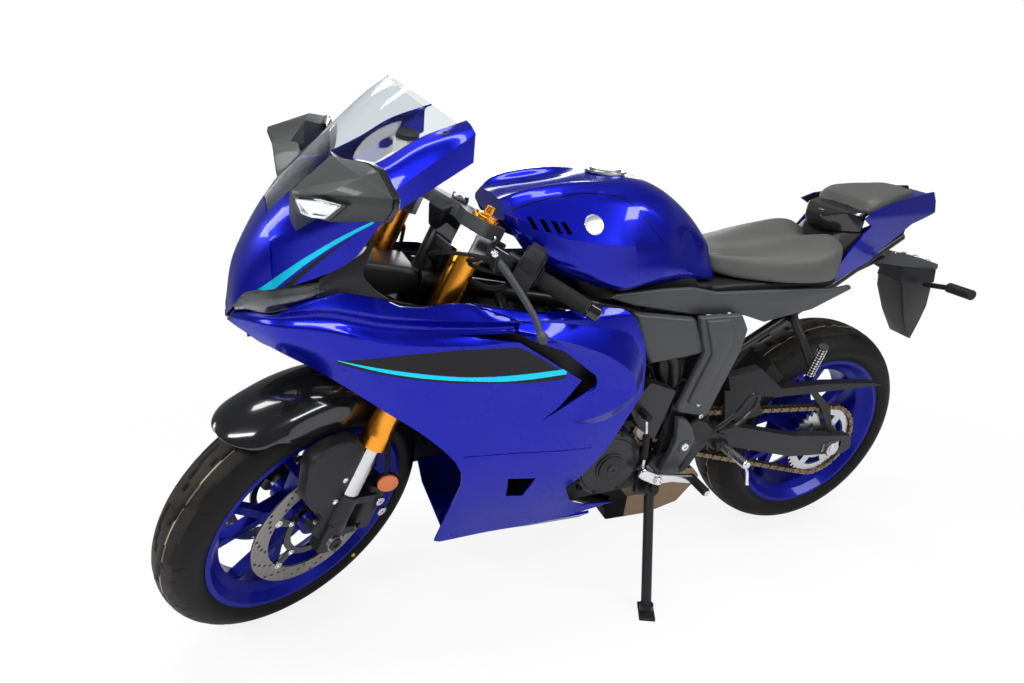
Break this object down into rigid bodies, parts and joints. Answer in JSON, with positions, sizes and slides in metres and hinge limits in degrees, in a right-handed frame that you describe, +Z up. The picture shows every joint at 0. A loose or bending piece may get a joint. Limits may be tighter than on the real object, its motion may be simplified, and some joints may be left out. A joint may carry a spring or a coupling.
{
  "type": "sport bike",
  "caption": "Faired middleweight sport motorcycle parked on its side stand, bars on the left stop, chain drive, dual-disc front end, two-seat tail.",
  "frame": {"origin": "on the ground under the middle of the parked bounding box", "axes": "+X forward, +Y to the rider's left, +Z up"},
  "size_m": [2.0044, 0.7498, 1.1452],
  "materials": {
    "alu": "machined",
    "anodised": "gold anodised",
    "case_black": "matt black cast",
    "chain": "plated chain",
    "clear": "clear",
    "dark_cover": "dark grey satin",
    "exhaust": "heat tinted",
    "frame_black": "satin black",
    "gloss_black": "gloss black",
    "lens": "lamp lens",
    "matt_black": "matt black",
    "paint_blue": "deep metallic blue gloss",
    "red_lens": "red lens",
    "rubber": "moulded grip",
    "seat": "grained vinyl",
    "steel": "brushed",
    "tyre": "worn in road tyre",
    "wheel_blue": "dark blue gloss"
  },
  "bodies": {
    "chassis": {"frame": "frame_black", "subframe": "frame_black", "swingarm": "frame_black", "pivot_shaft": "steel", "rear_axle": "steel", "rear_caliper": "case_black", "chain_guard": "matt_black", "rear_shock": "case_black", "drive_chain": "chain", "drive_sprocket": "steel", "engine": "case_black", "engine_covers": "case_black", "sprocket_cover": "matt_black", "radiator": "case_black", "exhaust": "exhaust", "nose_cowl": "paint_blue", "windscreen": "clear", "cowl_stay": "matt_black", "headlamp": "lens", "position_lamps": "lens", "mirrors": "dark_cover", "instrument_panel": "matt_black", "side_fairings": "paint_blue", "fairing_inner": "matt_black", "belly_pan": "matt_black", "fuel_tank": "paint_blue", "fuel_cap": "alu", "rider_seat": "seat", "passenger_seat": "seat", "tail_cowl": "paint_blue", "tail_cover": "matt_black", "tail_lamp": "red_lens", "side_covers": "dark_cover", "frame_covers": "dark_cover", "rear_fender": "matt_black", "rear_indicators": "matt_black", "footrests": "alu", "passenger_pegs": "frame_black", "gear_lever": "steel", "brake_pedal": "steel", "stand_bracket": "frame_black"},
    "steering": {"yokes": "frame_black", "fork_outers": "anodised", "fork_lowers": "alu", "front_axle": "steel", "front_calipers": "case_black", "clip_ons": "alu", "grips": "rubber", "controls": "matt_black", "front_mudguard": "gloss_black"},
    "front_wheel": {"front_rim": "wheel_blue", "front_tyre": "tyre", "front_discs": "steel"},
    "rear_wheel": {"rear_rim": "wheel_blue", "rear_tyre": "tyre", "rear_disc": "steel", "rear_sprocket": "steel"},
    "side_stand": {"side_stand": "frame_black"}
  },
  "joints": [
    {"name": "steering_head", "type": "hinge", "parent": "chassis", "child": "steering", "pos_m": [0.51836, -0.03692, 0.67608], "axis": [-0.397, 0.1982, 0.8962], "range_deg": [-58, 0]},
    {"name": "front_wheel_spin", "type": "hinge", "parent": "steering", "child": "front_wheel", "pos_m": [0.72714, -0.10507, 0.2825], "axis": [-0.4459, 0.8118, -0.3771], "continuous": true},
    {"name": "rear_wheel_spin", "type": "hinge", "parent": "chassis", "child": "rear_wheel", "pos_m": [-0.66338, -0.1194, 0.30997], "axis": [-0.0011, 0.9763, -0.2164], "continuous": true},
    {"name": "stand_pivot", "type": "hinge", "parent": "chassis", "child": "side_stand", "pos_m": [-0.06562, 0.04494, 0.26132], "axis": [0.0015, 0.9537, 0.3007], "range_deg": [0, 92]}
  ]
}
